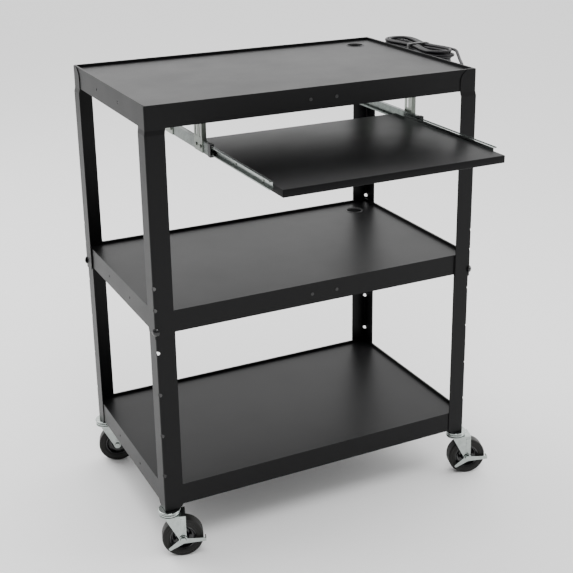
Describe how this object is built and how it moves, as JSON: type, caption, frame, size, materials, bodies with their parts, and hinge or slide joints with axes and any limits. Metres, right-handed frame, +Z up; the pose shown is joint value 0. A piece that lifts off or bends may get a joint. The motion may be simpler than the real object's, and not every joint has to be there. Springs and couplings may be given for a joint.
{
  "type": "projector cart",
  "caption": "Tall steel equipment cart with three lipped shelves on corner legs, a pull-out keyboard board, swivel casters and a side outlet strip with a wound cord.",
  "frame": {"origin": "on the floor under the middle of the shelves", "axes": "+Z up, +X to the right seen from the front, +Y from the front to the back; the keyboard board pulls out towards -Y"},
  "size_m": [0.921, 0.755, 1.0784],
  "materials": {
    "charcoal_paint": "powder coated, low gloss",
    "zinc_plate": "zinc plated",
    "black_bolt": "black",
    "slide_steel": "zinc plated, smooth",
    "bright_zinc": "bright zinc plated",
    "black_rubber": "matte",
    "cord_vinyl": "soft gloss",
    "black_laminate": "black laminate on particle board",
    "black_plastic": "fine texture",
    "outlet_plastic": "smooth",
    "hub_plastic": "glossy",
    "tyre_rubber": "hard rubber"
  },
  "bodies": {
    "frame": {"top_shelf": "charcoal_paint", "middle_shelf": "charcoal_paint", "bottom_shelf": "charcoal_paint", "upper_leg_front_left": "charcoal_paint", "upper_leg_front_right": "charcoal_paint", "upper_leg_rear_left": "charcoal_paint", "upper_leg_rear_right": "charcoal_paint", "lower_leg_front_left": "charcoal_paint", "lower_leg_front_right": "charcoal_paint", "lower_leg_rear_left": "charcoal_paint", "lower_leg_rear_right": "charcoal_paint", "height_bolts": "black_bolt", "height_nuts": "zinc_plate", "cable_grommets": "black_rubber", "slide_channel_left": "slide_steel", "slide_channel_right": "slide_steel", "slide_guides": "black_plastic", "hanger_front_left": "zinc_plate", "hanger_front_right": "zinc_plate", "hanger_rear_left": "zinc_plate", "hanger_rear_right": "zinc_plate", "bracket_screws": "zinc_plate", "side_screws": "zinc_plate", "caster_stem_front_left": "bright_zinc", "caster_stem_front_right": "bright_zinc", "caster_stem_rear_left": "bright_zinc", "caster_stem_rear_right": "bright_zinc", "caster_nuts": "zinc_plate", "outlet_strip_case": "black_plastic", "strip_outlets": "outlet_plastic", "cord_hooks": "zinc_plate", "cord_strain_relief": "black_rubber", "cord_tail": "cord_vinyl", "cord_hank": "cord_vinyl", "cord_tie": "cord_vinyl", "cord_plug": "cord_vinyl"},
    "keyboard_shelf": {"keyboard_board": "black_laminate", "board_screws": "zinc_plate", "slide_rail_left": "slide_steel", "slide_rail_right": "slide_steel"},
    "retainer_left": {"ball_retainer_left": "slide_steel"},
    "retainer_right": {"ball_retainer_right": "slide_steel"},
    "swivel_front_left": {"caster_fork_front_left": "bright_zinc", "caster_axle_front_left": "bright_zinc"},
    "wheel_front_left": {"wheel_hub_front_left": "hub_plastic", "tyre_front_left": "tyre_rubber"},
    "swivel_front_right": {"caster_fork_front_right": "bright_zinc", "caster_axle_front_right": "bright_zinc"},
    "wheel_front_right": {"wheel_hub_front_right": "hub_plastic", "tyre_front_right": "tyre_rubber"},
    "swivel_rear_left": {"caster_fork_rear_left": "bright_zinc", "caster_axle_rear_left": "bright_zinc"},
    "wheel_rear_left": {"wheel_hub_rear_left": "hub_plastic", "tyre_rear_left": "tyre_rubber"},
    "swivel_rear_right": {"caster_fork_rear_right": "bright_zinc", "caster_axle_rear_right": "bright_zinc"},
    "wheel_rear_right": {"wheel_hub_rear_right": "hub_plastic", "tyre_rear_right": "tyre_rubber"},
    "brake_front_left": {"brake_lever_front_left": "bright_zinc"},
    "brake_front_right": {"brake_lever_front_right": "bright_zinc"}
  },
  "joints": [
    {"name": "keyboard_slide", "type": "slide", "parent": "frame", "child": "keyboard_shelf", "axis": [0, 1, 0], "range_m": [0, 0.245]},
    {"name": "retainer_slide_left", "type": "slide", "parent": "frame", "child": "retainer_left", "axis": [0, 1, 0], "range_m": [0, 0.1225]},
    {"name": "retainer_slide_right", "type": "slide", "parent": "frame", "child": "retainer_right", "axis": [0, 1, 0], "range_m": [0, 0.1225]},
    {"name": "swivel_front_left", "type": "hinge", "parent": "frame", "child": "swivel_front_left", "pos_m": [-0.395, -0.243, 0.112], "axis": [0, 0, 1], "continuous": true},
    {"name": "wheel_spin_front_left", "type": "hinge", "parent": "swivel_front_left", "child": "wheel_front_left", "pos_m": [-0.36837, -0.25165, 0.048], "axis": [0.309, 0.9511, 0], "continuous": true},
    {"name": "swivel_front_right", "type": "hinge", "parent": "frame", "child": "swivel_front_right", "pos_m": [0.395, -0.243, 0.112], "axis": [0, 0, 1], "continuous": true},
    {"name": "wheel_spin_front_right", "type": "hinge", "parent": "swivel_front_right", "child": "wheel_front_right", "pos_m": [0.42163, -0.25165, 0.048], "axis": [0.309, 0.9511, 0], "continuous": true},
    {"name": "swivel_rear_left", "type": "hinge", "parent": "frame", "child": "swivel_rear_left", "pos_m": [-0.395, 0.243, 0.112], "axis": [0, 0, 1], "continuous": true},
    {"name": "wheel_spin_rear_left", "type": "hinge", "parent": "swivel_rear_left", "child": "wheel_rear_left", "pos_m": [-0.36837, 0.23435, 0.048], "axis": [0.309, 0.9511, 0], "continuous": true},
    {"name": "swivel_rear_right", "type": "hinge", "parent": "frame", "child": "swivel_rear_right", "pos_m": [0.395, 0.243, 0.112], "axis": [0, 0, 1], "continuous": true},
    {"name": "wheel_spin_rear_right", "type": "hinge", "parent": "swivel_rear_right", "child": "wheel_rear_right", "pos_m": [0.42163, 0.23435, 0.048], "axis": [0.309, 0.9511, 0], "continuous": true},
    {"name": "brake_front_left", "type": "hinge", "parent": "swivel_front_left", "child": "brake_front_left", "pos_m": [-0.37486, -0.27162, 0.048], "axis": [0.309, 0.9511, 0], "range_deg": [0, 14]},
    {"name": "brake_front_right", "type": "hinge", "parent": "swivel_front_right", "child": "brake_front_right", "pos_m": [0.41514, -0.27162, 0.048], "axis": [0.309, 0.9511, 0], "range_deg": [0, 14]}
  ],
  "couplings": [
    {"joint": "retainer_slide_left", "follows": "keyboard_slide", "ratio": 0.5},
    {"joint": "retainer_slide_right", "follows": "keyboard_slide", "ratio": 0.5}
  ]
}
